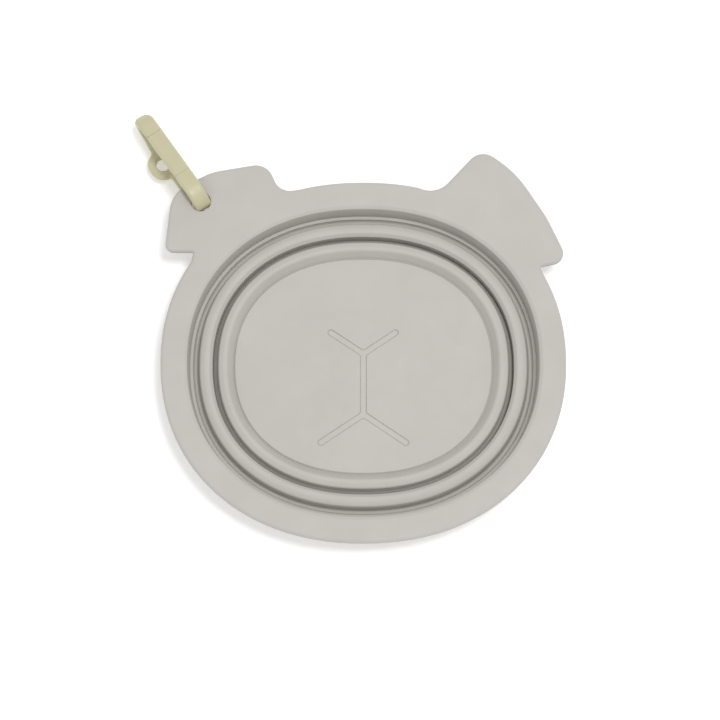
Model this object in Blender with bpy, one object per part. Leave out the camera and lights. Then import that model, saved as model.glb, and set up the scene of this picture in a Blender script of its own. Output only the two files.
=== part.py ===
"""A collapsible pet bowl with a dog-head rim, folded flat, and the carabiner in its left ear.

The bowl is one silicone moulding. It is built as the zones that move against each other: a base
dish on a foot ring, a middle ring, the rim with its wall and ears, and the two thin folds between
them. The carabiner is a plastic frame with an eyelet, a gate, the gate's pin and its spring.

Every ring of the bowl is parallel to one core oval, so a ring is named by its half width at the
X axis. The bowl's centre is at x = y = 0 while the pieces are made. At the end everything moves
together, so that the origin lies under the centre of the whole object's box. Metres, +Z up.
"""

import math

import bmesh
import bpy
from mathutils import Matrix, Vector

MM = 0.001
GAP = 0.3 * MM

# The core oval, a superellipse that every ring is offset from.
CORE_HALF_WIDTH = 63.0 * MM
CORE_HALF_DEPTH = 54.9 * MM
CORE_POWER = 2.2
RING_SIDES = 64

# Rim: a flat flange in the outline of a dog's head, with a wall hanging from its inner edge.
HEAD_HALF_WIDTH = 85.3 * MM
FLANGE_TOP = 19.0 * MM
FLANGE_THICKNESS = 3.5 * MM
FLANGE_EDGE_RADIUS = 1.3 * MM
EAR_HOLE_CENTRE = (-69.0 * MM, 69.1 * MM)
EAR_HOLE_RADIUS = 4.1 * MM
EAR_HOLE_SIDES = 28
ARC_STEP = math.radians(15)

# Corners of the outline in millimetres, with the radius of each: (x, y, radius).
LEFT_EAR = (
    (-35.6, 73.5, 7.2),
    (-41.2, 86.4, 7.7),
    (-64.3, 82.4, 22.3),
    (-81.5, 73.9, 14.6),
    (-84.3, 47.2, 3.3),
    (-72.0, 47.2, 0.6),
)
RIGHT_EAR = (
    (74.9, 40.8, 0.8),
    (87.0, 43.3, 5.0),
    (78.0, 62.4, 43.2),
    (64.7, 82.8, 48.3),
    (50.1, 92.8, 7.4),
    (31.7, 72.8, 10.3),
)
# The head's own oval shows between these directions from the centre, in degrees.
HEAD_BELOW_EARS = (149.0, 386.5)
HEAD_BETWEEN_EARS = (70.5, 110.5)

# Cross-sections as (half width, height) in millimetres, inside first and then back up outside.
RIM_WALL = (
    (76.2, 19.0),
    (75.4, 18.8),
    (74.5, 18.4),
    (73.9, 17.6),
    (73.4, 9.3),
    (73.1, 8.9),
    (72.2, 8.8),
    (71.9, 8.4),
    (71.8, 2.2),
    (72.1, 1.4),
    (73.0, 1.4),
    (73.5, 2.2),
    (74.6, 8.5),
    (75.5, 13.0),
    (77.0, 15.5),
)
MIDDLE_RING = (
    (69.4, 10.9),
    (69.4, 11.6),
    (68.6, 12.5),
    (66.6, 13.1),
    (65.1, 12.7),
    (64.0, 11.9),
    (63.7, 11.1),
    (63.6, 2.2),
    (63.9, 1.5),
    (64.9, 1.5),
    (65.3, 2.2),
    (65.6, 9.3),
    (66.6, 10.3),
)
OUTER_FOLD = (
    (70.4, 1.8),
    (71.5, 1.8),
    (71.5, 7.8),
    (71.2, 8.2),
    (70.4, 8.3),
    (69.9, 8.9),
    (69.4, 10.5),
    (68.4, 10.2),
    (68.9, 8.2),
    (69.5, 7.3),
    (70.3, 6.9),
)
INNER_FOLD = (
    (62.2, 1.8),
    (63.3, 1.8),
    (63.3, 6.1),
    (63.0, 6.7),
    (61.9, 8.1),
    (61.4, 9.6),
    (60.3, 9.3),
    (60.7, 8.0),
    (61.5, 6.6),
    (62.2, 5.6),
)
BASE_RIM = (
    (54.3, 9.4),
    (55.0, 9.0),
    (55.6, 9.8),
    (57.1, 12.1),
    (57.9, 12.6),
    (59.4, 12.5),
    (60.7, 11.8),
    (61.2, 11.0),
    (61.2, 10.1),
    (60.1, 9.8),
    (57.4, 8.5),
    (53.0, 7.2),
    (52.3, 0.5),
    (51.8, 0.0),
    (49.8, 0.0),
    (49.3, 0.5),
    (49.0, 7.2),
)

# The nose and mouth: a stem with two arms at each end, sunk into the base.
STEM_TOP = (0.0, 5.0)
STEM_BOTTOM = (0.0, -21.1)
UPPER_ARMS = ((13.6, 14.2), (-13.8, 14.2))
LOWER_ARMS = ((-17.9, -33.2), (17.9, -33.2))
CHANNEL_WIDTH = 2.8 * MM
CHANNEL_DEPTH = 0.6 * MM
BASE_TOP = 9.4 * MM

# Carabiner: a long ring standing on edge. Its own x runs from the ear hole to the tip, its own
# z runs up across the ring, and its own y is its thickness.
CARABINER_LENGTH = 51.5 * MM
CARABINER_WIDTH = 17.5 * MM
LEG_DEPTH = 4.2 * MM
CARABINER_THICKNESS = 7.0 * MM
CARABINER_EDGE_RADIUS = 1.6 * MM
CARABINER_HEADING = math.radians(123.8)
CARABINER_MIDDLE_HEIGHT = 18.0 * MM
CARABINER_FLOOR_GAP = 0.5 * MM
PIN_X = 14.5 * MM
PIN_RADIUS = 0.6 * MM
PIN_CLEARANCE = 0.1 * MM
PIN_LENGTH = 6.4 * MM
PIN_EDGE_RADIUS = 0.1 * MM
LUG_WIDTH = 2.8 * MM
LUG_RADIUS = 1.4 * MM
LUG_LENGTH = 3.4 * MM
LUG_EDGE_RADIUS = 0.2 * MM
SHOULDER_SETBACK = 1.9 * MM
CUTTER_LENGTH = 12 * MM
NOSE_X_OUTSIDE = 35.5 * MM
NOSE_SLANT = 2.4 * MM
EYELET_X = 27.8 * MM
EYELET_OFFSET = -3.1 * MM
EYELET_RADIUS = 6.4 * MM
EYELET_HOLE_RADIUS = 3.15 * MM
EYELET_DEPTH = 3.4 * MM
SPRING_BORE_RADIUS = 1.25 * MM
SPRING_BORE_END_X = 27.0 * MM
SPRING_RADIUS = 0.75 * MM
SPRING_WIRE_RADIUS = 0.18 * MM
SPRING_START_X = 16.4 * MM
SPRING_LENGTH = 10.1 * MM
SPRING_TURNS = 8

SILICONE_COLOUR = (0.578, 0.552, 0.515)
PLASTIC_COLOUR = (0.638, 0.610, 0.434)
STEEL_COLOUR = (0.60, 0.60, 0.61)


def clear_scene():
    for thing in list(bpy.data.objects):
        bpy.data.objects.remove(thing, do_unlink=True)


def material(name, colour, roughness, metallic=0.0):
    made = bpy.data.materials.new(name)
    made.use_nodes = True
    shader = made.node_tree.nodes["Principled BSDF"]
    shader.inputs["Base Color"].default_value = (*colour, 1.0)
    shader.inputs["Roughness"].default_value = roughness
    shader.inputs["Metallic"].default_value = metallic
    return made


def power(value, exponent):
    """A signed power."""
    return math.copysign(abs(value) ** exponent, value)


def ring(half_width, sides=RING_SIDES):
    """The oval parallel to the core oval with this half width, anticlockwise from +X."""
    points = []
    for i in range(sides):
        turn = 2 * math.pi * i / sides
        x = power(math.cos(turn), 2 / CORE_POWER)
        y = power(math.sin(turn), 2 / CORE_POWER)
        slope_x = power(x, CORE_POWER - 1) / CORE_HALF_WIDTH
        slope_y = power(y, CORE_POWER - 1) / CORE_HALF_DEPTH
        on_core = Vector((x * CORE_HALF_WIDTH, y * CORE_HALF_DEPTH))
        outwards = Vector((slope_x, slope_y)).normalized()
        points.append(on_core + (half_width - CORE_HALF_WIDTH) * outwards)
    return points


def circle(centre, radius, sides):
    turns = (2 * math.pi * i / sides for i in range(sides))
    return [Vector(centre) + radius * Vector((math.cos(t), math.sin(t))) for t in turns]


def rounded(corners):
    """A closed outline through (point, radius) corners, each with a radius drawn as an arc."""
    outline = []
    for i, (point, radius) in enumerate(corners):
        if radius == 0:
            outline.append(point)
            continue
        before = (corners[i - 1][0] - point).normalized()
        after = (corners[(i + 1) % len(corners)][0] - point).normalized()
        half_angle = before.angle(after) / 2
        centre = point + (before + after).normalized() * radius / math.sin(half_angle)
        start = point + before * radius / math.tan(half_angle) - centre
        end = point + after * radius / math.tan(half_angle) - centre
        swing = start.angle_signed(end)
        steps = max(2, round(abs(swing) / ARC_STEP))
        for k in range(steps + 1):
            outline.append(centre + Matrix.Rotation(-swing * k / steps, 2) @ start)
    return outline


def millimetre_corners(corners):
    return [(Vector((x, y)) * MM, radius * MM) for x, y, radius in corners]


def head_arc(first, last):
    """The head oval's points between two directions from the centre, in degrees."""
    points = ring(HEAD_HALF_WIDTH)
    turned = []
    for point in points:
        direction = math.degrees(math.atan2(point.y, point.x)) % 360
        if direction < first:
            direction += 360
        if direction <= last:
            turned.append((direction, point))
    return [(point, 0) for _, point in sorted(turned, key=lambda pair: pair[0])]


def head_outline():
    """The flange's outline with both ears, anticlockwise."""
    corners = head_arc(*HEAD_BELOW_EARS)
    corners += millimetre_corners(RIGHT_EAR)
    corners += head_arc(*HEAD_BETWEEN_EARS)
    corners += millimetre_corners(LEFT_EAR)
    return rounded(corners)


def inset(outline, distance):
    """The outline moved inwards. It is anticlockwise, so inwards is to the left of its direction."""
    moved = []
    for i, point in enumerate(outline):
        before = (point - outline[i - 1]).normalized()
        after = (outline[(i + 1) % len(outline)] - point).normalized()
        mean = (before + after).normalized()
        inwards = Vector((-mean.y, mean.x))
        moved.append(point + inwards * distance / max(0.5, mean.dot(after)))
    return moved


def loop(bm, outline, height):
    return [bm.verts.new((point[0], point[1], height)) for point in outline]


def band(bm, first, second):
    """Quads between two loops with the same number of points."""
    for i in range(len(first)):
        bm.faces.new((first[i - 1], first[i], second[i], second[i - 1]))


def bands(bm, loops):
    for first, second in zip(loops, loops[1:]):
        band(bm, first, second)


def fill(bm, *loops):
    """Triangles over a flat area between an outer loop and any holes in it."""
    edges = []
    for points in loops:
        for i in range(len(points)):
            ends = (points[i - 1], points[i])
            edges.append(bm.edges.get(ends) or bm.edges.new(ends))
    bmesh.ops.triangle_fill(bm, edges=edges, use_beauty=True)


def add_object(name, bm, finish):
    bmesh.ops.recalc_face_normals(bm, faces=bm.faces)
    mesh = bpy.data.meshes.new(name)
    bm.to_mesh(mesh)
    bm.free()
    mesh.shade_smooth()
    mesh.set_sharp_from_angle(angle=math.radians(35))
    if finish:
        mesh.materials.append(finish)
    made = bpy.data.objects.new(name, mesh)
    bpy.context.collection.objects.link(made)
    return made


def section_loops(bm, section):
    """One loop around the bowl for each point of a cross-section."""
    return [loop(bm, ring(width * MM), height * MM) for width, height in section]


def closed_ring(name, section, finish):
    """A solid ring with this closed cross-section."""
    bm = bmesh.new()
    loops = section_loops(bm, section)
    bands(bm, loops + loops[:1])
    return add_object(name, bm, finish)


def edge_loops(bm, outline, low, high, radius):
    """Loops down the side of a plate whose top and bottom edges are rounded."""
    above = []
    below = []
    for turn in (0, 45, 90):
        angle = math.radians(turn)
        drawn = inset(outline, radius * (1 - math.sin(angle)))
        fall = radius * (1 - math.cos(angle))
        above.append(loop(bm, drawn, high - fall))
        below.append(loop(bm, drawn, low + fall))
    loops = above + below[::-1]
    bands(bm, loops)
    return loops


def make_rim(finish):
    bm = bmesh.new()
    underside = FLANGE_TOP - FLANGE_THICKNESS
    edge = edge_loops(bm, head_outline(), underside, FLANGE_TOP, FLANGE_EDGE_RADIUS)
    wall = section_loops(bm, RIM_WALL)
    bands(bm, wall)
    hole = circle(EAR_HOLE_CENTRE, EAR_HOLE_RADIUS, EAR_HOLE_SIDES)
    hole_loops = [loop(bm, hole, FLANGE_TOP), loop(bm, hole, underside)]
    bands(bm, hole_loops)
    fill(bm, edge[0], wall[0], hole_loops[0])
    fill(bm, edge[-1], wall[-1], hole_loops[1])
    return add_object("rim_with_ears", bm, finish)


def round_end(joint, end, width):
    """A half circle round the end of an arm."""
    along = (end - joint).normalized()
    side = Vector((-along.y, along.x))
    turns = (math.pi * (k / 6 - 0.5) for k in range(7))
    return [end + width / 2 * (along * math.cos(turn) + side * math.sin(turn)) for turn in turns]


def crotch(joint, first, second, width):
    """The corner between two arms that leave a joint towards these points."""
    one = (first - joint).normalized()
    other = (second - joint).normalized()
    return [joint + (one + other).normalized() * width / 2 / math.sin(one.angle(other) / 2)]


def channel_outline(width):
    """The outline of the nose-and-mouth channel, anticlockwise from its upper right arm."""
    top, bottom = Vector(STEM_TOP) * MM, Vector(STEM_BOTTOM) * MM
    upper_right, upper_left = (Vector(end) * MM for end in UPPER_ARMS)
    lower_left, lower_right = (Vector(end) * MM for end in LOWER_ARMS)
    outline = round_end(top, upper_right, width)
    outline += crotch(top, upper_right, upper_left, width)
    outline += round_end(top, upper_left, width)
    outline += crotch(top, upper_left, bottom, width)
    outline += crotch(bottom, top, lower_left, width)
    outline += round_end(bottom, lower_left, width)
    outline += crotch(bottom, lower_left, lower_right, width)
    outline += round_end(bottom, lower_right, width)
    outline += crotch(bottom, lower_right, top, width)
    outline += crotch(top, bottom, upper_right, width)
    return outline


def make_base(finish):
    bm = bmesh.new()
    section = section_loops(bm, BASE_RIM)
    bands(bm, section)
    outline = channel_outline(CHANNEL_WIDTH)
    lip = loop(bm, outline, BASE_TOP)
    floor = loop(bm, outline, BASE_TOP - CHANNEL_DEPTH)
    band(bm, lip, floor)
    fill(bm, section[0], lip)
    fill(bm, floor)
    fill(bm, section[-1])
    return add_object("base_dish", bm, finish)


def plate(name, outline, thickness, edge_radius, finish):
    """A flat piece with this outline, centred on z = 0, with rounded edges."""
    bm = bmesh.new()
    edge = edge_loops(bm, outline, -thickness / 2, thickness / 2, edge_radius)
    fill(bm, edge[0])
    fill(bm, edge[-1])
    return add_object(name, bm, finish)


def combine(target, other, operation):
    """A Boolean of the target with a helper that is left out of the object."""
    other.hide_render = True
    other.display_type = "WIRE"
    other.parent = target.parent
    other.matrix_parent_inverse.identity()
    modifier = target.modifiers.new(f"{operation.lower()}_{other.name}", "BOOLEAN")
    modifier.operation = operation
    modifier.solver = "EXACT"
    modifier.object = other


def cylinder(name, centre, axis, radius, length, sides):
    """A closed cylinder centred on a point, as a cutter or a pin."""
    bm = bmesh.new()
    turned = Vector((0, 0, 1)).rotation_difference(Vector(axis)).to_matrix().to_4x4()
    place = Matrix.Translation(centre) @ turned
    bmesh.ops.create_cone(
        bm, cap_ends=True, segments=sides, radius1=radius, radius2=radius, depth=length, matrix=place
    )
    return add_object(name, bm, None)


def arc(centre, radius, first, last, steps):
    """Points on an arc between two directions in degrees."""
    turns = (math.radians(first + (last - first) * k / steps) for k in range(steps + 1))
    return [Vector(centre) + radius * Vector((math.cos(t), math.sin(t))) for t in turns]


def leg_heights():
    """The upper leg's inner face, its middle and its outer face, measured from the ring's middle."""
    outer = CARABINER_WIDTH / 2
    return outer - LEG_DEPTH, outer - LEG_DEPTH / 2, outer


def frame_outline():
    """The ring's side view, open where the gate goes, anticlockwise."""
    inner, middle, outer = leg_heights()
    pin = (PIN_X, middle)
    ear_end = (outer - LEG_DEPTH / 2, 0)
    tip_end = (CARABINER_LENGTH - LEG_DEPTH / 2 - outer, 0)
    shoulder_radius = LEG_DEPTH / 2 + GAP
    shoulder_x = PIN_X - SHOULDER_SETBACK
    outline = [Vector((shoulder_x, outer))]
    outline += arc(ear_end, outer, 90, 270, 16)
    outline += arc(tip_end, outer, -90, 90, 16)
    nose_x_inside = NOSE_X_OUTSIDE + NOSE_SLANT
    outline += [Vector((NOSE_X_OUTSIDE, outer)), Vector((nose_x_inside, inner))]
    outline += arc(tip_end, inner, 90, -90, 12)
    outline += arc(ear_end, inner, 270, 90, 12)
    outline += [Vector((shoulder_x, inner))]
    outline += arc(pin, shoulder_radius, 230, 130, 6)
    return outline


def gate_outline():
    """The gate's side view: round about its pin, and slanted where it closes behind the nose."""
    inner, middle, outer = leg_heights()
    outline = arc((PIN_X, middle), LEG_DEPTH / 2, 90, 270, 12)
    nose_x_inside = NOSE_X_OUTSIDE + NOSE_SLANT - GAP
    outline += [Vector((nose_x_inside, inner)), Vector((NOSE_X_OUTSIDE - GAP, outer))]
    return [point - Vector((PIN_X, middle)) for point in outline]


def lug_outline():
    """The frame's tongue between the gate's cheeks, round about the pin."""
    _, middle, _ = leg_heights()
    end = arc((PIN_X, middle), LUG_RADIUS, -90, 90, 10)
    root_x = PIN_X - LUG_LENGTH
    return end + [Vector((root_x, middle + LUG_RADIUS)), Vector((root_x, middle - LUG_RADIUS))]


def slot_outline():
    """The gate's pocket for the tongue: round about the pin, and open at the back and below."""
    radius = LUG_RADIUS + GAP
    far = LEG_DEPTH
    back = [Vector((-far, radius)), Vector((-far, -far)), Vector((0, -far))]
    return arc((0, 0), radius, -90, 90, 12) + back


def make_frame(swivel, finish):
    _, middle, _ = leg_heights()
    frame = plate(
        "carabiner_frame", frame_outline(), CARABINER_THICKNESS, CARABINER_EDGE_RADIUS, finish
    )
    frame.parent = swivel
    lug = plate("lug", lug_outline(), LUG_WIDTH, LUG_EDGE_RADIUS, finish)
    combine(frame, lug, "UNION")
    eyelet_centre = Vector((EYELET_X, -middle, EYELET_OFFSET))
    up = (0, 1, 0)
    eyelet = cylinder("eyelet", eyelet_centre, up, EYELET_RADIUS, EYELET_DEPTH, 40)
    combine(frame, eyelet, "UNION")
    hole = cylinder("eyelet_hole", eyelet_centre, up, EYELET_HOLE_RADIUS, CUTTER_LENGTH, 32)
    combine(frame, hole, "DIFFERENCE")
    pin_centre = Vector((PIN_X, middle, 0))
    along_pin = (0, 0, 1)
    hole_radius = PIN_RADIUS + PIN_CLEARANCE
    pin_hole = cylinder("lug_hole", pin_centre, along_pin, hole_radius, CUTTER_LENGTH, 16)
    combine(frame, pin_hole, "DIFFERENCE")


def make_gate(hinge, finish):
    """The gate, with its origin on the pin's axis."""
    gate = plate(
        "carabiner_gate", gate_outline(), CARABINER_THICKNESS, CARABINER_EDGE_RADIUS, finish
    )
    gate.parent = hinge
    slot = plate("slot", slot_outline(), LUG_WIDTH + 2 * GAP, LUG_EDGE_RADIUS, finish)
    combine(gate, slot, "DIFFERENCE")
    hole_radius = PIN_RADIUS + PIN_CLEARANCE
    pin_hole = cylinder("gate_pin_hole", Vector(), (0, 0, 1), hole_radius, CUTTER_LENGTH, 16)
    combine(gate, pin_hole, "DIFFERENCE")
    bore_length = SPRING_BORE_END_X - PIN_X
    bore_middle = Vector((bore_length / 2, 0, 0))
    bore = cylinder("spring_bore", bore_middle, (1, 0, 0), SPRING_BORE_RADIUS, bore_length, 16)
    combine(gate, bore, "DIFFERENCE")


def make_pin(hinge, finish):
    outline = circle((0, 0), PIN_RADIUS, 18)
    pin = plate("gate_pin", outline, PIN_LENGTH, PIN_EDGE_RADIUS, finish)
    pin.parent = hinge


def make_spring(hinge, finish):
    """A coil that lies in the gate's bore and pushes on the frame's lug."""
    curve = bpy.data.curves.new("gate_spring", "CURVE")
    curve.dimensions = "3D"
    curve.bevel_depth = SPRING_WIRE_RADIUS
    curve.bevel_resolution = 1
    curve.use_fill_caps = True
    steps = SPRING_TURNS * 10
    spline = curve.splines.new("POLY")
    spline.points.add(steps)
    for k, point in enumerate(spline.points):
        turn = 2 * math.pi * SPRING_TURNS * k / steps
        x = SPRING_START_X - PIN_X + SPRING_LENGTH * k / steps
        point.co = (x, SPRING_RADIUS * math.cos(turn), SPRING_RADIUS * math.sin(turn), 1)
    curve.materials.append(finish)
    spring = bpy.data.objects.new("gate_spring", curve)
    bpy.context.collection.objects.link(spring)
    spring.parent = hinge


def carabiner_place():
    """The ring stands on edge in the ear's hole and droops until its tip almost meets the ground."""
    tip_reach = CARABINER_LENGTH - LEG_DEPTH / 2 - CARABINER_WIDTH / 2
    drop = CARABINER_MIDDLE_HEIGHT - CARABINER_WIDTH / 2 - CARABINER_FLOOR_GAP
    droop = math.asin(drop / tip_reach)
    heading = Vector((math.cos(CARABINER_HEADING), math.sin(CARABINER_HEADING), 0))
    up = Vector((0, 0, 1))
    along = heading * math.cos(droop) - up * math.sin(droop)
    across = heading * math.sin(droop) + up * math.cos(droop)
    turned = Matrix((along, across, along.cross(across))).transposed().to_4x4()
    return Matrix.Translation((*EAR_HOLE_CENTRE, CARABINER_MIDDLE_HEIGHT)) @ turned


def add_empty(name, place, parent=None):
    empty = bpy.data.objects.new(name, None)
    empty.empty_display_size = 5 * MM
    empty.parent = parent
    empty.matrix_basis = place
    bpy.context.collection.objects.link(empty)
    return empty


def make_carabiner(plastic, steel):
    _, middle, _ = leg_heights()
    swivel = add_empty("carabiner_swivel", carabiner_place())
    hinge = add_empty("gate_hinge", Matrix.Translation((PIN_X, middle, 0)), swivel)
    make_frame(swivel, plastic)
    make_gate(hinge, plastic)
    make_pin(hinge, steel)
    make_spring(hinge, steel)


def centre_on_box():
    """Moves everything together, so that the origin is under the centre of the object's box."""
    bpy.context.view_layer.update()
    graph = bpy.context.evaluated_depsgraph_get()
    corners = []
    for thing in bpy.data.objects:
        if thing.type == "MESH" and not thing.hide_render:
            evaluated = thing.evaluated_get(graph)
            corners += [evaluated.matrix_world @ vertex.co for vertex in evaluated.data.vertices]
    middle_x = (min(c.x for c in corners) + max(c.x for c in corners)) / 2
    middle_y = (min(c.y for c in corners) + max(c.y for c in corners)) / 2
    shift = Matrix.Translation((-middle_x, -middle_y, 0))
    for thing in bpy.data.objects:
        if thing.parent is None:
            thing.matrix_basis = shift @ thing.matrix_basis


def main():
    clear_scene()
    silicone = material("silicone", SILICONE_COLOUR, 0.6)
    plastic = material("plastic", PLASTIC_COLOUR, 0.45)
    steel = material("steel", STEEL_COLOUR, 0.3, 1.0)
    make_rim(silicone)
    closed_ring("outer_fold", OUTER_FOLD, silicone)
    closed_ring("middle_ring", MIDDLE_RING, silicone)
    closed_ring("inner_fold", INNER_FOLD, silicone)
    make_base(silicone)
    make_carabiner(plastic, steel)
    centre_on_box()


main()
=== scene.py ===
"""The looks of the folding dog-head bowl and its carabiner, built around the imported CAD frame.

Every ring of the bowl is parallel to one core oval, so a ring is named by its half width at the
X axis. Cross-sections are lists of (half width, height, corner radius). The bowl and the
carabiner are drawn in millimetres about their own origins and placed in metres. The bowl's
centre is taken from the frame.
"""

import math

import bmesh
import bpy
from mathutils import Matrix, Vector


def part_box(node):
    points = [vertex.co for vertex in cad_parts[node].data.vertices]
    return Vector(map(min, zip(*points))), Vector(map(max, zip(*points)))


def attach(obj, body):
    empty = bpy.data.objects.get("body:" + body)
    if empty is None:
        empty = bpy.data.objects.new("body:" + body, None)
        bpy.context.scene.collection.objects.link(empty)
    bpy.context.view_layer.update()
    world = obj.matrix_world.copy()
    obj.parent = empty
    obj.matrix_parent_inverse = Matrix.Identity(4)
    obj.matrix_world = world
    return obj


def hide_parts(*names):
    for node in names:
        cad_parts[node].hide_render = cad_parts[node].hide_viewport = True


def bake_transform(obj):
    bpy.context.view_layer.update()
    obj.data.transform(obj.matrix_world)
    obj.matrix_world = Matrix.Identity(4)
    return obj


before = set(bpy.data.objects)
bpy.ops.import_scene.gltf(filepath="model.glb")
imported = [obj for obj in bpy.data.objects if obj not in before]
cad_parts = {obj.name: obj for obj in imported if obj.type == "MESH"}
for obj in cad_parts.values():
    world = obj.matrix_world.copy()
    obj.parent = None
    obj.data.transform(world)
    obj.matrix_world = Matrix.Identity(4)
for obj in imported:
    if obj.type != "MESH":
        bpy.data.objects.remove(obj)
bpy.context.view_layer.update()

MM = 0.001

# The core oval, and the rim's outline with (x, y, corner radius) for the ears. They are as in the
# CAD, except that the head's top between the ears is a little higher.
CORE_HALF_WIDTH = 63.0
CORE_HALF_DEPTH = 54.9
CORE_POWER = 2.2
RING_SIDES = 320
HEAD_HALF_WIDTH = 85.3
HEAD_TOP_RISE = 0.6
LEFT_EAR = (
    (-35.6, 73.5, 7.2),
    (-41.2, 86.4, 7.7),
    (-64.3, 82.4, 22.3),
    (-81.5, 73.9, 14.6),
    (-84.3, 47.2, 3.3),
    (-72.0, 47.2, 0.6),
)
RIGHT_EAR = (
    (74.9, 40.8, 0.8),
    (87.0, 43.3, 5.0),
    (78.0, 62.4, 43.2),
    (64.7, 82.8, 48.3),
    (50.1, 92.8, 7.4),
    (31.7, 72.8, 10.3),
)

# The head's own oval shows between these directions from the centre, in degrees.
HEAD_BELOW_EARS = (149.0, 386.5)
HEAD_BETWEEN_EARS = (72.5, 110.5)

# How finely corners are rounded. A section's end guard keeps the cut between two zones out of the
# visible shading, and the mitre limit keeps an inset outline from running off at a sharp corner.
ARC_STEP = math.radians(5)
PROFILE_STEP = math.radians(10)
SMALL_EDGE_STEPS = 4
END_GUARD = 0.04
MITRE_LIMIT = 0.5

# The flange and the hole in its left ear. The guard is the width of the narrow band between a
# rounded edge and the flat area beside it.
FLANGE_TOP = 19.0
FLANGE_BOTTOM = 15.5
TOP_EDGE_RADIUS = 1.4
BOTTOM_EDGE_RADIUS = 1.2
GUARD = 0.25
EAR_HOLE_CENTRE = (-69.0, 69.1)
EAR_HOLE_RADIUS = 4.1
EAR_HOLE_EDGE = 0.5
EAR_HOLE_SIDES = 72

# Cross-sections. Each zone of the moulding ends where the next one starts: in the folds' low
# turns and just under the lips of the middle ring and of the base.
RIM_INSIDE = (
    (77.6, 19.0, 0),
    (75.6, 19.0, 1.1),
    (74.1, 18.2, 0.7),
    (73.3, 8.9, 0.2),
    (72.0, 8.8, 0.15),
    (71.75, 2.1, 0.1),
    (71.7, 1.95, 0),
)
RIM_OUTSIDE = (
    (71.6, 1.0, 0),
    (73.2, 1.0, 0.6),
    (74.4, 8.0, 3.0),
    (75.4, 13.0, 3.0),
    (76.4, 15.5, 1.2),
    (79.0, 15.5, 0),
)
OUTER_FOLD_TOP = (
    (71.7, 1.95, 0),
    (71.71, 2.1, 0.02),
    (71.95, 7.9, 0.02),
    (70.3, 4.6, 0.9),
    (69.6, 10.4, 0),
)
OUTER_FOLD_UNDER = (
    (68.2, 9.9, 0),
    (68.7, 5.0, 0.8),
    (70.5, 3.6, 0.8),
    (70.6, 1.6, 0.5),
    (71.6, 1.0, 0),
)
MIDDLE_TOP = (
    (69.6, 10.4, 0),
    (69.1, 12.5, 1.2),
    (66.6, 13.3, 4.0),
    (65.0, 13.0, 0.6),
    (63.7, 11.6, 0.4),
    (63.6, 2.1, 0.1),
    (63.5, 1.95, 0),
)
MIDDLE_UNDER = (
    (63.4, 1.0, 0),
    (64.7, 1.0, 0.6),
    (65.2, 9.6, 1.6),
    (68.2, 9.9, 0),
)
INNER_FOLD_TOP = (
    (63.5, 1.95, 0),
    (63.53, 2.1, 0.02),
    (63.55, 6.0, 0.2),
    (62.0, 8.0, 0.8),
    (61.5, 10.0, 0),
)
INNER_FOLD_UNDER = (
    (60.2, 9.5, 0),
    (60.5, 8.4, 0.8),
    (62.4, 5.2, 0.8),
    (62.5, 1.6, 0.5),
    (63.4, 1.0, 0),
)
BASE_TOP_SECTION = (
    (61.5, 10.0, 0),
    (61.3, 11.7, 1.3),
    (57.9, 12.9, 2.0),
    (54.9, 8.3, 0.1),
    (54.2, 9.4, 0.3),
    (52.6, 9.4, 0),
)
BASE_UNDER_SECTION = (
    (48.0, 7.2, 0),
    (49.3, 7.2, 1.0),
    (49.3, 0.0, 0.6),
    (52.3, 0.0, 0.6),
    (52.9, 7.0, 1.2),
    (57.6, 8.4, 2.0),
    (60.2, 9.5, 0),
)
BASE_TOP = 9.4

# The nose-and-mouth channel, with the narrow groove along its edge.
STEM_TOP = (0.0, 5.0)
STEM_BOTTOM = (0.0, -21.1)
UPPER_ARMS = ((13.6, 14.2), (-13.8, 14.2))
LOWER_ARMS = ((-17.9, -33.2), (17.9, -33.2))
CHANNEL_HALF_WIDTH = 1.4
CHANNEL_DEPTH = 0.15
CHANNEL_LIP = 0.12
EDGE_GROOVE_DEPTH = 0.5
EDGE_GROOVE_WIDTH = 0.22
EDGE_GROOVE_SLOPE = 0.12
CHANNEL_CORNER = 1.2
ARM_END_STEPS = 16
CROTCH_HALF_STEPS = 4

# The carabiner, in its own axes: x from the ear hole to the tip, y up across the ring, z through.
# Blanks are the plain shapes that its Booleans cut with.
CARABINER_LENGTH = 51.5
CARABINER_WIDTH = 17.5
LEG_DEPTH = 4.2
CARABINER_THICKNESS = 7.4
CARABINER_EDGE_RADIUS = 1.4
CARABINER_HEADING = math.radians(123.8)
CARABINER_MIDDLE_HEIGHT = 18.0
CARABINER_FLOOR_GAP = 0.5
EAR_END_REACH = 3.0
GAP = 0.3
SEAM = 0.05
TIP_CORNER_RADII = (2.2, 4.8)
EAR_CORNER_RADIUS = 2.4
CORNER_LEAN = math.radians(24)
RING_END_STEPS = 64
PLAN_MARGIN = 0.2
BLANK_REACH = 1.0
BLANK_THICKNESS = 12.0
BLANK_EDGE = 0.1
PIN_X = 14.5
PIN_RADIUS = 0.6
PIN_CLEARANCE = 0.05
PIN_LENGTH = 6.4
PIN_SIDES = 40
PIN_DOME = ((0.35, 0.06), (0.7, 0.16), (0.92, 0.3), (1.0, 0.45))
LUG_WIDTH = 2.8
LUG_RADIUS = 1.4
LUG_LENGTH = 3.4
LUG_EDGE = 0.2
LUG_STEPS = 20
SLOT_STEPS = 24
GATE_BACK = 1.8
GATE_FOOT_STEPS = 10
NOSE_X_OUTSIDE = 35.5
NOSE_SLANT = 2.4
EYELET_X = 28.2
EYELET_OFFSET = -3.1
EYELET_RADIUS = 6.4
EYELET_HOLE_RADIUS = 3.0
EYELET_STRETCH = 0.7
EYELET_STEPS = 16
EYELET_HOLE_STEPS = 32
EYELET_FILLET = 1.5
EYELET_FILLET_STEPS = 8
WEB_START_X = 15.0
WEB_HEIGHTS = (0.6, 1.4)
EYELET_DEPTH = 3.4
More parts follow.
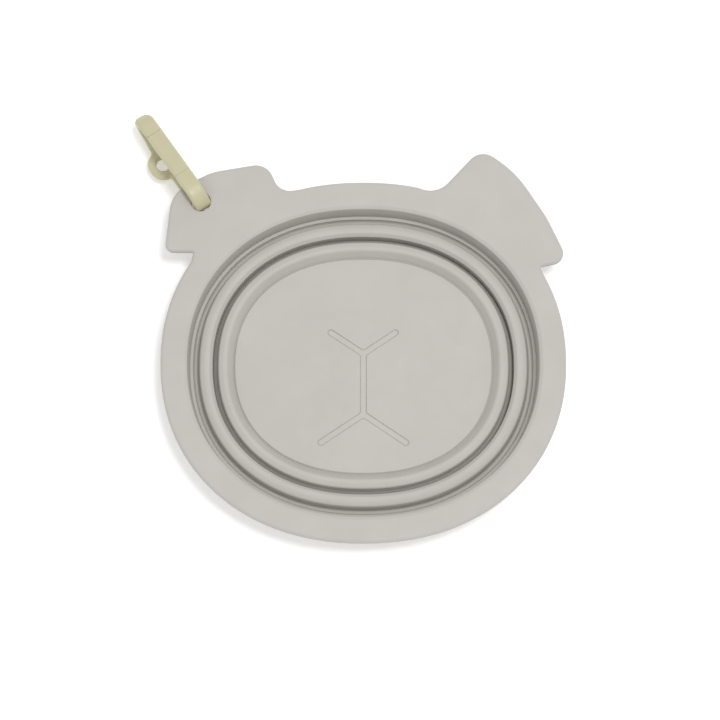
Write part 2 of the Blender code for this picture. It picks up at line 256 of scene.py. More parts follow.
EYELET_EDGE_RADIUS = 1.2
SPRING_BORE_RADIUS = 1.25
SPRING_BORE_END_X = 27.0
SPRING_RADIUS = 0.75
SPRING_WIRE_RADIUS = 0.18
SPRING_START_X = 16.4
SPRING_LENGTH = 10.1
SPRING_TURNS = 8
SPRING_STEPS_PER_TURN = 24
SPRING_WIRE_RESOLUTION = 4
VOXEL = 0.15
SMOOTHINGS = 3
SMOOTHING_FACTOR = 0.5

# Base colours, each a darker and a lighter end of a soft drift, as linear red, green and blue.
SILICONE_COLOURS = ((0.480, 0.459, 0.430), (0.498, 0.476, 0.446))
PLASTIC_COLOURS = ((0.520, 0.492, 0.322), (0.542, 0.514, 0.338))
STEEL_COLOURS = ((0.52, 0.52, 0.53), (0.62, 0.62, 0.63))
FLOOR_COLOURS = ((0.90, 0.90, 0.90), (0.91, 0.91, 0.91))

# The noise values between which a colour and a roughness go from one end to the other.
COLOUR_DRIFT = (0.35, 0.65)
ROUGHNESS_DRIFT = (0.3, 0.7)

# The studio and the camera, in metres. The floor is in millimetres, and so is the camera's aim,
# which is measured from the bowl's centre.
FLOOR_GLOW = 0.24
FLOOR_HALF_WIDTH = 2000
WORLD_STRENGTH = 0.72
KEY_PLACE = (0.48, 0.06, 2.4)
KEY_SIZE = 0.6
KEY_WATTS = 25.0
CAMERA_ELEVATION = math.radians(78)
CAMERA_DISTANCE = 1.2
CAMERA_AIM = (-1.4, 0.3)
WIDTH_IN_VIEW = 0.3024
SENSOR_WIDTH = 36

low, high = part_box("base_dish")
BOWL_CENTRE = Vector(((low.x + high.x) / 2, (low.y + high.y) / 2)) / MM


# ---------------------------------------------------------------- outlines


def power(value, exponent):
    """A signed power."""
    return math.copysign(abs(value) ** exponent, value)


def ring(half_width, sides=RING_SIDES):
    """The oval parallel to the core oval with this half width, anticlockwise from +X."""
    points = []
    for i in range(sides):
        turn = 2 * math.pi * i / sides
        x = power(math.cos(turn), 2 / CORE_POWER)
        y = power(math.sin(turn), 2 / CORE_POWER)
        slope_x = power(x, CORE_POWER - 1) / CORE_HALF_WIDTH
        slope_y = power(y, CORE_POWER - 1) / CORE_HALF_DEPTH
        outwards = Vector((slope_x, slope_y)).normalized()
        on_core = Vector((x * CORE_HALF_WIDTH, y * CORE_HALF_DEPTH))
        points.append(on_core + (half_width - CORE_HALF_WIDTH) * outwards)
    return points


def circle(centre, radius, sides):
    """Points on a circle, anticlockwise from +X."""
    turns = (2 * math.pi * i / sides for i in range(sides))
    return [Vector(centre) + radius * Vector((math.cos(t), math.sin(t))) for t in turns]


def arc(centre, radius, first, last, steps):
    """Points on an arc between two directions in degrees."""
    turns = (math.radians(first + (last - first) * k / steps) for k in range(steps + 1))
    return [Vector(centre) + radius * Vector((math.cos(t), math.sin(t))) for t in turns]


def fillet(before, point, after, radius, step):
    """The arc that rounds one corner, or the corner itself where the radius is 0."""
    if radius == 0:
        return [point]
    first = (before - point).normalized()
    second = (after - point).normalized()
    half_angle = first.angle(second) / 2
    centre = point + (first + second).normalized() * radius / math.sin(half_angle)
    start = point + first * radius / math.tan(half_angle) - centre
    end = point + second * radius / math.tan(half_angle) - centre
    swing = start.angle_signed(end)
    steps = max(2, math.ceil(abs(swing) / step))
    return [centre + Matrix.Rotation(-swing * k / steps, 2) @ start for k in range(steps + 1)]


def rounded_loop(corners, step=ARC_STEP):
    """A closed outline through (x, y, radius) corners."""
    points = [Vector(corner[:2]) for corner in corners]
    outline = []
    for i, point in enumerate(points):
        after = points[(i + 1) % len(points)]
        outline += fillet(points[i - 1], point, after, corners[i][2], step)
    return outline


def beside(end, inner):
    """A point close to a section's end, which keeps the cut face out of the visible shading."""
    return end + (inner - end).normalized() * END_GUARD


def section(corners, step=PROFILE_STEP):
    """An open cross-section through (half width, height, radius) corners, guarded at its ends."""
    points = [Vector(corner[:2]) for corner in corners]
    drawn = [points[0], beside(points[0], points[1])]
    for i in range(1, len(points) - 1):
        drawn += fillet(points[i - 1], points[i], points[i + 1], corners[i][2], step)
    return drawn + [beside(points[-1], points[-2]), points[-1]]


def head_arc(first, last, rise=0.0):
    """The head oval's points between two directions from the centre, in degrees, radius 0."""
    turned = []
    for point in ring(HEAD_HALF_WIDTH + rise):
        direction = math.degrees(math.atan2(point.y, point.x)) % 360
        if direction < first:
            direction += 360
        if direction <= last:
            turned.append((direction, point))
    return [(point.x, point.y, 0) for _, point in sorted(turned, key=lambda pair: pair[0])]


def head_outline():
    """The flange's outline with both ears, anticlockwise."""
    corners = head_arc(*HEAD_BELOW_EARS) + list(RIGHT_EAR)
    corners += head_arc(*HEAD_BETWEEN_EARS, HEAD_TOP_RISE) + list(LEFT_EAR)
    return rounded_loop(corners)


def inset(outline, distance):
    """The outline moved inwards. It is anticlockwise, so inwards is to the left."""
    moved = []
    for i, point in enumerate(outline):
        before = (point - outline[i - 1]).normalized()
        after = (outline[(i + 1) % len(outline)] - point).normalized()
        mean = (before + after).normalized()
        inwards = Vector((-mean.y, mean.x))
        moved.append(point + inwards * distance / max(MITRE_LIMIT, mean.dot(after)))
    return moved


def round_end(joint, end, half_width):
    """A half circle round the end of an arm."""
    along = (end - joint).normalized()
    side = Vector((-along.y, along.x))
    turns = (math.pi * (k / ARM_END_STEPS - 0.5) for k in range(ARM_END_STEPS + 1))
    return [end + half_width * (along * math.cos(turn) + side * math.sin(turn)) for turn in turns]


def crotch(joint, first, second, half_width):
    """The rounded corner between two arms that leave a joint towards these points."""
    one = (first - joint).normalized()
    other = (second - joint).normalized()
    half_angle = one.angle(other) / 2
    reach = (CHANNEL_HALF_WIDTH + CHANNEL_CORNER) / math.sin(half_angle)
    bisector = (one + other).normalized()
    centre = joint + bisector * reach
    radius = CHANNEL_HALF_WIDTH + CHANNEL_CORNER - half_width
    swing = math.pi / 2 - half_angle
    turns = (swing * (1 - k / CROTCH_HALF_STEPS) for k in range(2 * CROTCH_HALF_STEPS + 1))
    turned = one.angle_signed(other)
    sense = 1 if turned < 0 else -1
    return [centre - Matrix.Rotation(sense * turn, 2) @ bisector * radius for turn in turns]


def channel_outline(half_width):
    """The outline of the nose-and-mouth channel, anticlockwise from its upper right arm."""
    top, bottom = Vector(STEM_TOP), Vector(STEM_BOTTOM)
    upper_right, upper_left = (Vector(end) for end in UPPER_ARMS)
    lower_left, lower_right = (Vector(end) for end in LOWER_ARMS)
    outline = round_end(top, upper_right, half_width)
    outline += crotch(top, upper_right, upper_left, half_width)
    outline += round_end(top, upper_left, half_width)
    outline += crotch(top, upper_left, bottom, half_width)
    outline += crotch(bottom, top, lower_left, half_width)
    outline += round_end(bottom, lower_left, half_width)
    outline += crotch(bottom, lower_left, lower_right, half_width)
    outline += round_end(bottom, lower_right, half_width)
    outline += crotch(bottom, lower_right, top, half_width)
    outline += crotch(top, bottom, upper_right, half_width)
    return outline


# ---------------------------------------------------------------- meshes


def loop(bm, outline, height):
    """The vertices of a level outline."""
    return [bm.verts.new((point[0], point[1], height)) for point in outline]


def band(bm, first, second):
    """Quads between two loops with the same number of points."""
    for i in range(len(first)):
        bm.faces.new((first[i - 1], first[i], second[i], second[i - 1]))


def bands(bm, loops):
    """Quads between each loop and the next."""
    for first, second in zip(loops, loops[1:]):
        band(bm, first, second)


def fill(bm, *loops):
    """Triangles over a flat area between an outer loop and any holes in it."""
    edges = []
    for points in loops:
        for i in range(len(points)):
            ends = (points[i - 1], points[i])
            edges.append(bm.edges.get(ends) or bm.edges.new(ends))
    bmesh.ops.triangle_fill(bm, edges=edges, use_beauty=True)


def make_object(name, bm, place=None):
    """A smooth object from a mesh in millimetres, placed by a matrix in metres."""
    bmesh.ops.recalc_face_normals(bm, faces=bm.faces)
    scale = Matrix.Scale(MM, 4)
    bmesh.ops.transform(bm, matrix=(place or Matrix()) @ scale, verts=bm.verts)
    mesh = bpy.data.meshes.new(name)
    bm.to_mesh(mesh)
    bm.free()
    mesh.shade_smooth()
    made = bpy.data.objects.new(name, mesh)
    bpy.context.scene.collection.objects.link(made)
    return made


def bowl_place():
    return Matrix.Translation((BOWL_CENTRE.x * MM, BOWL_CENTRE.y * MM, 0))


def section_loops(bm, corners):
    """One loop round the bowl for each point of a cross-section."""
    return [loop(bm, ring(point.x), point.y) for point in section(corners)]


def ring_piece(name, top, under):
    """A ring of the moulding between its upper and its under cross-section."""
    bm = bmesh.new()
    loops = section_loops(bm, top) + section_loops(bm, under)
    bands(bm, loops + loops[:1])
    return make_object(name, bm, bowl_place())


def quarter(radius, steps=6):
    """(how far in, how far down) along a rounded edge from its flat to its side."""
    turns = (math.pi / 2 * k / steps for k in range(steps + 1))
    return [(radius * (1 - math.sin(turn)), radius * (1 - math.cos(turn))) for turn in turns]


def plate_edge(bm, outline, low, high, low_radius, high_radius):
    """Loops from a plate's top, over its rounded edge, to its underside, with guard loops."""
    loops = [loop(bm, inset(outline, high_radius + GUARD), high)]
    for inwards, down in quarter(high_radius):
        loops.append(loop(bm, inset(outline, inwards), high - down))
    for inwards, up in reversed(quarter(low_radius)):
        loops.append(loop(bm, inset(outline, inwards), low + up))
    loops.append(loop(bm, inset(outline, low_radius + GUARD), low))
    bands(bm, loops)
    return loops


def ear_hole(radius):
    """A circle about the ear hole's centre."""
    return circle(EAR_HOLE_CENTRE, radius, EAR_HOLE_SIDES)


def ear_hole_section():
    """(radius, height) down through the hole, over its rounded edges."""
    guard = EAR_HOLE_RADIUS + EAR_HOLE_EDGE + GUARD
    edge = [(EAR_HOLE_RADIUS + out, down) for out, down in quarter(EAR_HOLE_EDGE, SMALL_EDGE_STEPS)]
    upper = [(radius, FLANGE_TOP - down) for radius, down in edge]
    lower = [(radius, FLANGE_BOTTOM + up) for radius, up in reversed(edge)]
    return [(guard, FLANGE_TOP)] + upper + lower + [(guard, FLANGE_BOTTOM)]


def make_rim():
    """The flange with its ears, its hole, and the wall with its inner shelf."""
    bm = bmesh.new()
    edge = plate_edge(
        bm, head_outline(), FLANGE_BOTTOM, FLANGE_TOP, BOTTOM_EDGE_RADIUS, TOP_EDGE_RADIUS
    )
    wall = [loop(bm, ring(RIM_INSIDE[0][0] + GUARD), FLANGE_TOP)]
    wall += section_loops(bm, RIM_INSIDE) + section_loops(bm, RIM_OUTSIDE)
    bands(bm, wall)
    hole = [loop(bm, ear_hole(at), height) for at, height in ear_hole_section()]
    bands(bm, hole)
    fill(bm, edge[0], wall[0], hole[0])
    fill(bm, edge[-1], wall[-1], hole[-1])
    return make_object("bowl_rim", bm, bowl_place())


def channel_section():
    """(half width, depth) from the panel into the channel, over the fine groove at its edge."""
    lip = CHANNEL_HALF_WIDTH + CHANNEL_LIP
    groove_inside = CHANNEL_HALF_WIDTH - EDGE_GROOVE_WIDTH
    floor_edge = groove_inside - EDGE_GROOVE_SLOPE
    points = [(lip + GUARD, 0.0)]
    lip_edge = quarter(CHANNEL_LIP, SMALL_EDGE_STEPS)
    points += [(CHANNEL_HALF_WIDTH + out, down) for out, down in lip_edge]
    points += [(CHANNEL_HALF_WIDTH, EDGE_GROOVE_DEPTH), (groove_inside, EDGE_GROOVE_DEPTH)]
    return points + [(floor_edge, CHANNEL_DEPTH), (floor_edge - GUARD, CHANNEL_DEPTH)]


def make_base():
    """The ridge, the panel with its channel, and the foot ring."""
    bm = bmesh.new()
    under = section_loops(bm, BASE_UNDER_SECTION)
    top = section_loops(bm, BASE_TOP_SECTION)
    bands(bm, under + top)
    channel = [loop(bm, channel_outline(at), BASE_TOP - down) for at, down in channel_section()]
    bands(bm, channel)
    fill(bm, top[-1], channel[0])
    fill(bm, channel[-1])
    fill(bm, under[0])
    return make_object("bowl_base", bm, bowl_place())


# ---------------------------------------------------------------- carabiner


def carabiner_place():
    """The ring stands on edge in the ear's hole and droops until its tip almost meets the ground."""
    tip_reach = CARABINER_LENGTH - LEG_DEPTH / 2 - CARABINER_WIDTH / 2
    drop = CARABINER_MIDDLE_HEIGHT - CARABINER_WIDTH / 2 - CARABINER_FLOOR_GAP
    droop = math.asin(drop / tip_reach)
    heading = Vector((math.cos(CARABINER_HEADING), math.sin(CARABINER_HEADING), 0))
    up = Vector((0, 0, 1))
    along = heading * math.cos(droop) - up * math.sin(droop)
    across = heading * math.sin(droop) + up * math.cos(droop)
    turned = Matrix((along, across, along.cross(across))).transposed().to_4x4()
    hole = BOWL_CENTRE + Vector(EAR_HOLE_CENTRE)
    at = Vector((hole.x, hole.y, CARABINER_MIDDLE_HEIGHT)) * MM
    return Matrix.Translation(at) @ turned


def leg_heights():
    """The upper leg's inner face, its middle and its outer face, from the ring's middle."""
    outer = CARABINER_WIDTH / 2
    return outer - LEG_DEPTH, outer - LEG_DEPTH / 2, outer


def ring_outline(inwards):
    """The ring's side view moved inwards by a distance, anticlockwise."""
    radius = CARABINER_WIDTH / 2 - inwards
    ear_end = (CARABINER_WIDTH / 2 - EAR_END_REACH, 0)
    tip_end = (CARABINER_LENGTH - LEG_DEPTH / 2 - CARABINER_WIDTH / 2, 0)
    ear_side = arc(ear_end, radius, 90, 270, RING_END_STEPS)
    return ear_side + arc(tip_end, radius, -90, 90, RING_END_STEPS)


def nose_line(gap):
    """Two points on the nose's slant, above and below the leg, moved towards the pin by a gap."""
    inner, _, outer = leg_heights()
    overrun = NOSE_SLANT / LEG_DEPTH * BLANK_REACH
    above = Vector((NOSE_X_OUTSIDE - overrun - gap, outer + BLANK_REACH))
    below = Vector((NOSE_X_OUTSIDE + NOSE_SLANT + overrun - gap, inner - BLANK_REACH))
    return above, below


def gate_blank():
    """What the gate keeps of the ring: square above its pin, and round below it."""
    inner, middle, outer = leg_heights()
    above, below = nose_line(SEAM)
    radius = LEG_DEPTH / 2
    foot = 180 + math.degrees(math.acos(GATE_BACK / radius))
    outline = [above, Vector((PIN_X - GATE_BACK, outer + BLANK_REACH))]
    outline += arc((PIN_X, middle), radius, foot, 270, GATE_FOOT_STEPS)
    return outline + [Vector((PIN_X, inner - BLANK_REACH)), below]


def mouth_blank():
    """What the frame loses from its upper leg, apart from the round seat about the pin."""
    inner, _, outer = leg_heights()
    above, below = nose_line(0)
    shoulder_x = PIN_X - GATE_BACK - SEAM
    upper = Vector((shoulder_x, outer + BLANK_REACH))
    return [above, upper, Vector((shoulder_x, inner - BLANK_REACH)), below]


def lug_outline():
    """The frame's tongue between the gate's cheeks, round about the pin."""
    _, middle, _ = leg_heights()
    end = arc((PIN_X, middle), LUG_RADIUS, -90, 90, LUG_STEPS)
    root_x = PIN_X - LUG_LENGTH
    return end + [Vector((root_x, middle + LUG_RADIUS)), Vector((root_x, middle - LUG_RADIUS))]


def slot_outline():
    """The gate's pocket for the tongue: round about the pin, and open at the back and below."""
    _, middle, _ = leg_heights()
    radius = LUG_RADIUS + GAP
    far = LEG_DEPTH
    corners = ((-far, radius), (-far, -far), (0, -far))
    back = [Vector((PIN_X + x, middle + y)) for x, y in corners]
    return arc((PIN_X, middle), radius, -90, 90, SLOT_STEPS) + back


def plate(name, outlines, thickness, edge_radius, place=None):
    """A flat piece with rounded edges, centred on z = 0: an outline, then any holes in it."""
    bm = bmesh.new()
    half = thickness / 2
    edge = quarter(edge_radius)
    tops, bottoms = [], []
    for outline in outlines:
        into = -1 if tops else 1
        loops = [loop(bm, inset(outline, into * far), half - down) for far, down in edge]
        loops += [loop(bm, inset(outline, into * far), up - half) for far, up in reversed(edge)]
        bands(bm, loops)
        tops.append(loops[0])
        bottoms.append(loops[-1])
    fill(bm, *tops)
    fill(bm, *bottoms)
    return make_object(name, bm, (place or Matrix()) @ Matrix.Scale(1 / MM, 4))


def rod(name, centre, axis, radius, length, sides=48):
    """A closed cylinder centred on a point, in millimetres."""
    bm = bmesh.new()
    turned = Vector((0, 0, 1)).rotation_difference(Vector(axis)).to_matrix().to_4x4()
    bmesh.ops.create_cone(
        bm,
        cap_ends=True,
        segments=sides,
        radius1=radius,
        radius2=radius,
        depth=length,
        matrix=Matrix.Translation(centre) @ turned,
    )
    return make_object(name, bm, Matrix.Scale(1 / MM, 4))


def moulded(blank, name, helpers):
    """Runs the Booleans, softens every edge as a mould does, and puts the piece in place."""
    for operation, helper in helpers:
        modifier = blank.modifiers.new(helper.name, "BOOLEAN")
        modifier.operation = operation
        modifier.solver = "EXACT"
        modifier.object = helper
    remesh = blank.modifiers.new("remesh", "REMESH")
    remesh.mode = "VOXEL"
    remesh.voxel_size = VOXEL
    remesh.use_smooth_shade = True
    smooth = blank.modifiers.new("smooth", "SMOOTH")
    smooth.iterations = SMOOTHINGS
    smooth.factor = SMOOTHING_FACTOR
    graph = bpy.context.evaluated_depsgraph_get()
    mesh = bpy.data.meshes.new_from_object(blank.evaluated_get(graph), depsgraph=graph)
    blank.modifiers.clear()
    blank.data = mesh
    blank.name = mesh.name = name
    mesh.transform(carabiner_place() @ Matrix.Scale(MM, 4))
    mesh.shade_smooth()
    for _, helper in helpers:
        bpy.data.objects.remove(helper)
    return blank


def eyelet_place():
    """The eyelet lies in the lower leg's plane, its own y pointing away from the leg."""
    _, middle, _ = leg_heights()
    turned = Matrix.Rotation(math.radians(-90), 4, "X")
    return Matrix.Translation((EYELET_X, -middle, EYELET_OFFSET)) @ turned


def eyelet_outline():
    """A long round eye, with a web that tapers into the leg towards the ring's tip."""
    stretch, eye, fillet_radius = EYELET_STRETCH, EYELET_RADIUS, EYELET_FILLET
    low, high = WEB_HEIGHTS
    reach = eye + fillet_radius
    tip_angle = math.degrees(math.asin((high + fillet_radius) / reach))
    ear_angle = math.degrees(math.asin((low + fillet_radius) / reach))
    tip_x = stretch + reach * math.cos(math.radians(tip_angle))
    ear_x = stretch + reach * math.cos(math.radians(ear_angle))
    depth = -EYELET_EDGE_RADIUS - low
    outline = [Vector((-ear_x - GUARD, depth)), Vector((WEB_START_X, depth))]
    outline += [Vector((WEB_START_X, low))]
    tip_fillet = ((tip_x, high + fillet_radius), fillet_radius, 270, 180 + tip_angle)
    ear_fillet = ((-ear_x, low + fillet_radius), fillet_radius, -ear_angle, -90)
    outline += arc(*tip_fillet, EYELET_FILLET_STEPS)
    outline += arc((stretch, 0), eye, tip_angle, 90, EYELET_STEPS)[1:]
    outline += arc((-stretch, 0), eye, 90, 180 - ear_angle, EYELET_STEPS)
    outline += arc(*ear_fillet, EYELET_FILLET_STEPS)[1:]
    return outline + [Vector((-ear_x - GUARD, low))]


def eyelet_hole_outline():
    """The eyelet's long round hole."""
    right = arc((EYELET_STRETCH, 0), EYELET_HOLE_RADIUS, -90, 90, EYELET_HOLE_STEPS)
    return right + arc((-EYELET_STRETCH, 0), EYELET_HOLE_RADIUS, 90, 270, EYELET_HOLE_STEPS)


def plan_blank():
    """The ring's outline from above, its corners rounded most at the tip's far side.

    It is leaned so that the corners are cut square to the drooping ring where the tip's
    silhouette lies.
    """
    half = CARABINER_THICKNESS / 2 + PLAN_MARGIN
    radius = CARABINER_WIDTH / 2
    ear_x = (radius - EAR_END_REACH) * math.cos(CORNER_LEAN) - radius - PLAN_MARGIN
    tip_x = (CARABINER_LENGTH - LEG_DEPTH / 2 - radius) * math.cos(CORNER_LEAN) + radius
    near, far = TIP_CORNER_RADII
    corners = (
        (ear_x, -half, EAR_CORNER_RADIUS),
        (tip_x, -half, far),
        (tip_x, half, near),
        (ear_x, half, EAR_CORNER_RADIUS),
    )
    leaned = Matrix.Rotation(CORNER_LEAN, 4, "Z") @ Matrix.Rotation(math.radians(-90), 4, "X")
    return plate("plan", [rounded_loop(corners)], 2 * CARABINER_LENGTH, BLANK_EDGE, leaned)


def whole_ring():
    """The ring before the mouth is cut, so that the gate and the frame share its rounded edges."""
    outlines = (ring_outline(0), ring_outline(LEG_DEPTH))
    return plate("ring", outlines, CARABINER_THICKNESS, CARABINER_EDGE_RADIUS)


def make_frame():
    """The carabiner's body: the ring without its gate, with a tongue, a pin hole and an eyelet."""
    _, middle, _ = leg_heights()
    pin = Vector((PIN_X, middle, 0))
    across = (0, 0, 1)
    seat_radius = LEG_DEPTH / 2 + SEAM
    eye = ([eyelet_outline()], EYELET_DEPTH, EYELET_EDGE_RADIUS, eyelet_place())
    hole = ([eyelet_hole_outline()], BLANK_THICKNESS, BLANK_EDGE, eyelet_place())
    pin_hole_radius = PIN_RADIUS + PIN_CLEARANCE
    helpers = [
        ("INTERSECT", plan_blank()),
        ("DIFFERENCE", plate("mouth", [mouth_blank()], BLANK_THICKNESS, BLANK_EDGE)),
        ("DIFFERENCE", rod("seat", pin, across, seat_radius, BLANK_THICKNESS)),
        ("UNION", plate("lug", [lug_outline()], LUG_WIDTH, LUG_EDGE)),
        ("UNION", plate("eyelet", *eye)),
        ("DIFFERENCE", plate("eyelet_hole", *hole)),
        ("DIFFERENCE", rod("pin_hole", pin, across, pin_hole_radius, BLANK_THICKNESS)),
    ]
    return moulded(whole_ring(), "carabiner_body", helpers)


def make_gate():
    """The gate's arm, with a pocket for the tongue, a pin hole and a bore for the spring."""
    _, middle, _ = leg_heights()
    pin = Vector((PIN_X, middle, 0))
    across = (0, 0, 1)
    bore_length = SPRING_BORE_END_X - PIN_X
    bore_centre = Vector((PIN_X + bore_length / 2, middle, 0))
    pin_hole_radius = PIN_RADIUS + PIN_CLEARANCE
    slot_width = LUG_WIDTH + 2 * GAP
    helpers = [
        ("INTERSECT", plate("gate_blank", [gate_blank()], BLANK_THICKNESS, BLANK_EDGE)),
        ("DIFFERENCE", plate("slot", [slot_outline()], slot_width, LUG_EDGE)),
        ("DIFFERENCE", rod("gate_hole", pin, across, pin_hole_radius, BLANK_THICKNESS)),
        ("DIFFERENCE", rod("bore", bore_centre, (1, 0, 0), SPRING_BORE_RADIUS, bore_length)),
    ]
    return moulded(whole_ring(), "carabiner_gate_arm", helpers)


def make_pin():
    """A plain steel pin, its domed ends drawn through (share of the radius, fall) points."""
    _, middle, _ = leg_heights()
    bm = bmesh.new()
    half = PIN_LENGTH / 2
    loops = []
    for share, fall in PIN_DOME:
        loops.append(loop(bm, circle((0, 0), PIN_RADIUS * share, PIN_SIDES), half - fall))
    for share, fall in reversed(PIN_DOME):
        loops.append(loop(bm, circle((0, 0), PIN_RADIUS * share, PIN_SIDES), fall - half))
    bands(bm, loops)
    fill(bm, loops[0])
    fill(bm, loops[-1])
    at = Matrix.Translation(Vector((PIN_X, middle, 0)) * MM)
    return make_object("gate_pin_steel", bm, carabiner_place() @ at)


def make_spring():
    """A plain coil that lies in the gate's bore, with one end towards the frame's tongue."""
    _, middle, _ = leg_heights()
    curve = bpy.data.curves.new("gate_coil", "CURVE")
    curve.dimensions = "3D"
    curve.bevel_depth = SPRING_WIRE_RADIUS * MM
    curve.bevel_resolution = SPRING_WIRE_RESOLUTION
    curve.use_fill_caps = True
    steps = SPRING_TURNS * SPRING_STEPS_PER_TURN
    spline = curve.splines.new("POLY")
    spline.points.add(steps)
    for k, point in enumerate(spline.points):
        turn = 2 * math.pi * SPRING_TURNS * k / steps
        x = SPRING_START_X + SPRING_LENGTH * k / steps
        y = middle + SPRING_RADIUS * math.cos(turn)
        point.co = (x * MM, y * MM, SPRING_RADIUS * MM * math.sin(turn), 1)
    curve.transform(carabiner_place())
    spring = bpy.data.objects.new("gate_coil", curve)
    bpy.context.scene.collection.objects.link(spring)
    return spring


# ---------------------------------------------------------------- materials


def principled(name, roughness):
    """A new material, its node tree and its shader."""
    made = bpy.data.materials.new(name)
    made.use_nodes = True
    shader = made.node_tree.nodes["Principled BSDF"]
    shader.inputs["Roughness"].default_value = roughness
    return made, made.node_tree, shader


def noise_node(tree, scale, detail):
    """Noise in object space, with its scale in features per metre."""
    coordinates = tree.nodes.new("ShaderNodeTexCoord")
    texture = tree.nodes.new("ShaderNodeTexNoise")
    texture.inputs["Scale"].default_value = scale
    texture.inputs["Detail"].default_value = detail
    tree.links.new(coordinates.outputs["Object"], texture.inputs["Vector"])
    return texture


def mottled_colour(tree, shader, colours, scale):
    """A base colour that drifts softly between two close colours."""
    texture = noise_node(tree, scale, detail=3)
    ramp = tree.nodes.new("ShaderNodeValToRGB")
    for element, position, colour in zip(ramp.color_ramp.elements, COLOUR_DRIFT, colours):
        element.position = position
        element.color = (*colour, 1)
    tree.links.new(texture.outputs["Fac"], ramp.inputs["Fac"])
    tree.links.new(ramp.outputs["Color"], shader.inputs["Base Color"])


def grain(tree, shader, scale, strength, distance):
    """The fine texture that a mould leaves."""
    texture = noise_node(tree, scale, detail=2)
    bump = tree.nodes.new("ShaderNodeBump")
    bump.inputs["Strength"].default_value = strength
    bump.inputs["Distance"].default_value = distance
    tree.links.new(texture.outputs["Fac"], bump.inputs["Height"])
    tree.links.new(bump.outputs["Normal"], shader.inputs["Normal"])


def varied_roughness(tree, shader, scale, low, high):
    """Roughness that drifts between two values, as handling and the mould leave it."""
    texture = noise_node(tree, scale, detail=4)
    spread = tree.nodes.new("ShaderNodeMapRange")
    spread.inputs["From Min"].default_value = ROUGHNESS_DRIFT[0]
    spread.inputs["From Max"].default_value = ROUGHNESS_DRIFT[1]
    spread.inputs["To Min"].default_value = low
    spread.inputs["To Max"].default_value = high
    tree.links.new(texture.outputs["Fac"], spread.inputs["Value"])
    tree.links.new(spread.outputs["Result"], shader.inputs["Roughness"])


def silicone_material():
    """Warm grey silicone with a dry, matt skin."""
    made, tree, shader = principled("matte_silicone", roughness=0.62)
    shader.inputs["Specular IOR Level"].default_value = 0.35
    mottled_colour(tree, shader, SILICONE_COLOURS, scale=60)
    varied_roughness(tree, shader, scale=180, low=0.55, high=0.68)
    grain(tree, shader, scale=2500, strength=0.15, distance=0.00004)
    return made


def plastic_material():
    """Pale olive plastic with a soft sheen."""
    made, tree, shader = principled("satin_plastic", roughness=0.42)
    shader.inputs["Specular IOR Level"].default_value = 0.4
    mottled_colour(tree, shader, PLASTIC_COLOURS, scale=120)
    varied_roughness(tree, shader, scale=300, low=0.36, high=0.48)
    grain(tree, shader, scale=1800, strength=0.12, distance=0.00003)
    return made


def steel_material():
    """Plain drawn steel."""
    made, tree, shader = principled("plain_steel", roughness=0.32)
    shader.inputs["Metallic"].default_value = 1.0
    mottled_colour(tree, shader, STEEL_COLOURS, scale=400)
    varied_roughness(tree, shader, scale=900, low=0.26, high=0.40)
    grain(tree, shader, scale=6000, strength=0.1, distance=0.00001)
    return made


def floor_material():
    """A pale floor with a faint glow, so that it is white beyond the soft shadow."""
    made, tree, shader = principled("studio_floor", roughness=0.9)
    shader.inputs["Specular IOR Level"].default_value = 0.0
    shader.inputs["Emission Color"].default_value = (1.0, 1.0, 1.0, 1)
    shader.inputs["Emission Strength"].default_value = FLOOR_GLOW
    mottled_colour(tree, shader, FLOOR_COLOURS, scale=3)
    return made


# ---------------------------------------------------------------- studio


def add_area(name, place, target, size, watts):
    """A round area light aimed at a point."""
    light = bpy.data.lights.new(name, "AREA")
    light.shape = "DISK"
    light.size = size
    light.energy = watts
    lamp = bpy.data.objects.new(name, light)
    bpy.context.scene.collection.objects.link(lamp)
    lamp.location = place
    lamp.rotation_euler = (Vector(target) - Vector(place)).to_track_quat("-Z", "Y").to_euler()


def build_studio():
    """An even white surround, one high soft light and a pale floor."""
    world = bpy.data.worlds.new("studio")
    world.use_nodes = True
    background = world.node_tree.nodes["Background"]
    background.inputs["Color"].default_value = (1.0, 1.0, 1.0, 1)
    background.inputs["Strength"].default_value = WORLD_STRENGTH
    bpy.context.scene.world = world
    bpy.context.scene.view_settings.view_transform = "Standard"
    add_area("key", KEY_PLACE, (0, 0, 0), KEY_SIZE, KEY_WATTS)
    bm = bmesh.new()
    bmesh.ops.create_grid(bm, x_segments=1, y_segments=1, size=FLOOR_HALF_WIDTH)
    floor = make_object("floor", bm)
    floor.data.materials.append(floor_material())


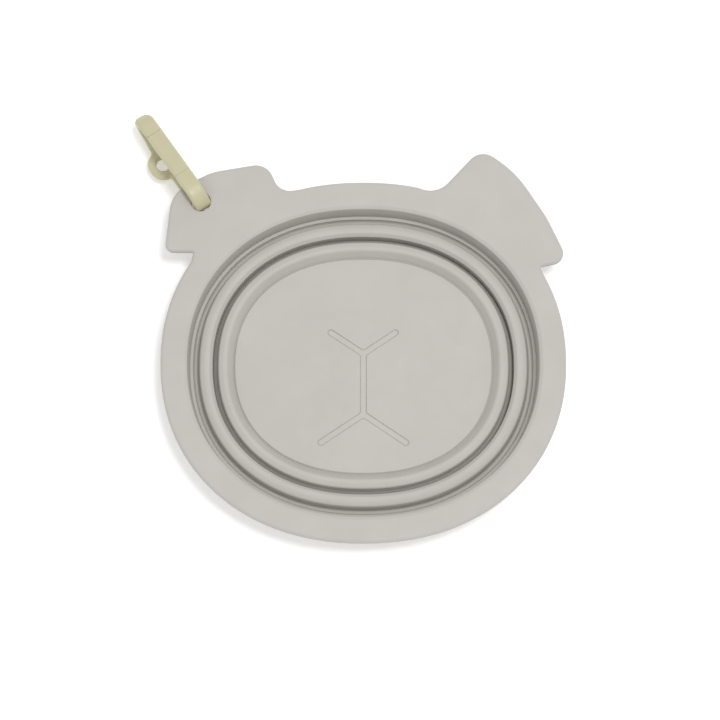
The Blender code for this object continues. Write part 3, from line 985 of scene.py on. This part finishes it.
def add_camera():
    """From the front and nearly overhead, aimed at the flange's height near the bowl's centre."""
    aim_x, aim_y = CAMERA_AIM
    target_x = (BOWL_CENTRE.x + aim_x) * MM
    target_y = (BOWL_CENTRE.y + aim_y) * MM
    target = Vector((target_x, target_y, FLANGE_TOP * MM))
    away = Vector((0, -math.cos(CAMERA_ELEVATION), math.sin(CAMERA_ELEVATION)))
    camera = bpy.data.cameras.new("camera")
    camera.sensor_width = SENSOR_WIDTH
    camera.lens = SENSOR_WIDTH * CAMERA_DISTANCE / WIDTH_IN_VIEW
    camera.clip_start = 0.01
    eye = bpy.data.objects.new("camera", camera)
    bpy.context.scene.collection.objects.link(eye)
    eye.location = target + away * CAMERA_DISTANCE
    eye.rotation_euler = (-away).to_track_quat("-Z", "Y").to_euler()
    bpy.context.scene.camera = eye


# ---------------------------------------------------------------- assembly


def finish_piece(piece, material, slot_name, *nodes):
    """Gives a piece its only material, and says which CAD nodes it replaces. The slot name is not
    used.
    """
    piece.data.materials.clear()
    piece.data.materials.append(material)
    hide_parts(*nodes)


def build_bowl():
    silicone = silicone_material()
    rim = make_rim()
    finish_piece(rim, silicone, "silicone", "rim_with_ears")
    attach(rim, "rim")
    outer_fold = ring_piece("bowl_outer_fold", OUTER_FOLD_TOP, OUTER_FOLD_UNDER)
    finish_piece(outer_fold, silicone, "silicone", "outer_fold")
    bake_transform(outer_fold)
    middle = ring_piece("bowl_middle_ring", MIDDLE_TOP, MIDDLE_UNDER)
    finish_piece(middle, silicone, "silicone", "middle_ring")
    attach(middle, "middle")
    inner_fold = ring_piece("bowl_inner_fold", INNER_FOLD_TOP, INNER_FOLD_UNDER)
    finish_piece(inner_fold, silicone, "silicone", "inner_fold")
    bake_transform(inner_fold)
    base = make_base()
    finish_piece(base, silicone, "silicone", "base_dish")
    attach(base, "base")


def build_carabiner():
    plastic = plastic_material()
    steel = steel_material()
    body = make_frame()
    finish_piece(body, plastic, "plastic", "carabiner_frame")
    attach(body, "carabiner")
    gate = make_gate()
    finish_piece(gate, plastic, "plastic", "carabiner_gate")
    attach(gate, "gate")
    pin = make_pin()
    finish_piece(pin, steel, "steel", "gate_pin")
    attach(pin, "carabiner")
    spring = make_spring()
    finish_piece(spring, steel, "steel", "gate_spring")
    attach(spring, "gate")


build_bowl()
build_carabiner()
build_studio()
add_camera()
